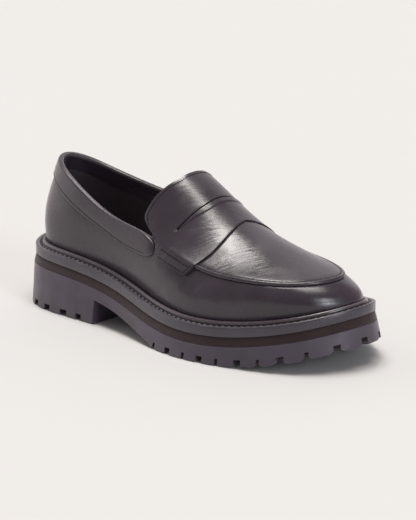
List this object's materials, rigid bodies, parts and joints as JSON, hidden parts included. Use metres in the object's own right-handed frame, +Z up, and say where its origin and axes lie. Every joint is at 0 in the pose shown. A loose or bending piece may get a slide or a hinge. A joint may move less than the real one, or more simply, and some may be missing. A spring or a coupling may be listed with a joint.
{
  "type": "chunky lug sole penny loafer",
  "caption": "Slip-on penny loafer for the right foot, with a moccasin toe, a slotted saddle strap and tongue, a collar band and a chunky lug sole with a heel block.",
  "frame": {"origin": "on the ground under the middle of the sole's outline", "axes": "+X towards the toe, +Y towards the big toe's side, +Z up"},
  "size_m": [0.2757, 0.1099, 0.1025],
  "materials": {
    "sole_rubber": "matte",
    "band": "matte",
    "welt_rubber": "satin",
    "footbed": "matte",
    "upper_leather": "smooth, semi-gloss",
    "apron_leather": "smooth, semi-gloss",
    "saddle_leather": "smooth, semi-gloss",
    "collar_leather": "smooth, semi-gloss"
  },
  "bodies": {
    "root": {"outsole": "sole_rubber", "midsole": "band", "welt": "welt_rubber", "insole": "footbed", "upper": "upper_leather", "apron": "apron_leather", "saddle": "saddle_leather", "collar": "collar_leather"}
  },
  "joints": []
}
